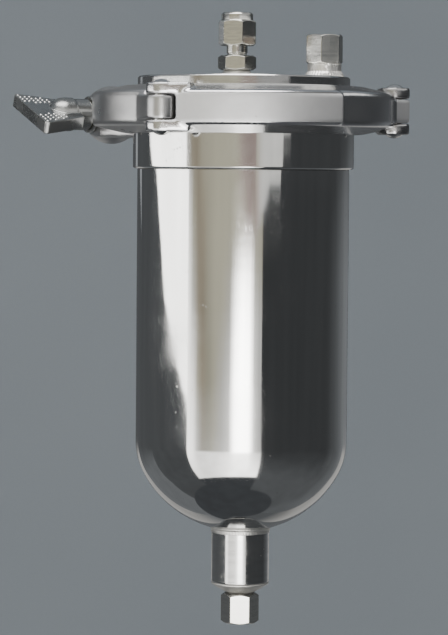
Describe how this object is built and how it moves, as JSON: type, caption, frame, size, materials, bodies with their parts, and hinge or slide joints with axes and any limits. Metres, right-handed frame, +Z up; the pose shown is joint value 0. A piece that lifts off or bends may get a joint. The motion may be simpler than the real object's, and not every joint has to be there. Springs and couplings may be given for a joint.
{
  "type": "coalescing filter",
  "caption": "Round polished steel filter bowl hung under a flat head by a hinged three-segment clamp with a swing bolt and wing nut, with tube fittings on top and a drain fitting below.",
  "frame": {"origin": "centre of the inlet nut's flat top face, where the tube that carries the filter comes out", "axes": "+Z up along the inlet's axis, -Y to the front, +X to the outlet's side"},
  "size_m": [0.1706, 0.1468, 0.2569],
  "materials": {
    "polished_steel": "mirror-polished stainless steel",
    "turned_steel": "satin turned stainless steel",
    "cast_steel": "cast stainless steel, tumbled to a satin sheen",
    "polished_casting": "polished stainless casting",
    "machined_steel": "bright machined stainless steel",
    "weld_steel": "bright brushed stainless steel with weld ripples",
    "gasket": "white gasket, matt"
  },
  "bodies": {
    "filter": {"head": "turned_steel", "gasket": "gasket", "bowl_ferrule": "polished_steel", "bowl_shell": "polished_steel", "bowl_dome": "polished_steel", "drain_weld": "weld_steel", "drain_nipple": "polished_steel", "drain_body": "weld_steel", "drain_nut": "machined_steel", "drain_tube_ring": "machined_steel", "inlet_boss": "weld_steel", "inlet_body": "machined_steel", "inlet_nut": "machined_steel", "inlet_tube_ring": "machined_steel", "outlet_weld": "weld_steel", "outlet_body": "weld_steel", "outlet_nut": "machined_steel", "outlet_tube_ring": "machined_steel", "clamp_front_segment": "cast_steel", "clamp_left_segment": "cast_steel", "clamp_right_segment": "cast_steel", "left_hinge_pin": "polished_steel", "right_hinge_pin": "polished_steel", "bolt_pivot_pin": "polished_steel"},
    "swing_bolt": {"swing_bolt": "machined_steel", "nut_washer": "machined_steel"},
    "wing_nut": {"wing_nut": "polished_casting"}
  },
  "joints": [
    {"name": "bolt_swing", "type": "hinge", "parent": "filter", "child": "swing_bolt", "pos_m": [-0.01697, 0.0745, -0.0422], "axis": [0, 0, -1], "range_deg": [0, 150]},
    {"name": "wing_nut_turn", "type": "hinge", "parent": "swing_bolt", "child": "wing_nut", "pos_m": [-0.07146, 0.04492, -0.0422], "axis": [-0.8788, -0.4772, 0], "continuous": true}
  ]
}
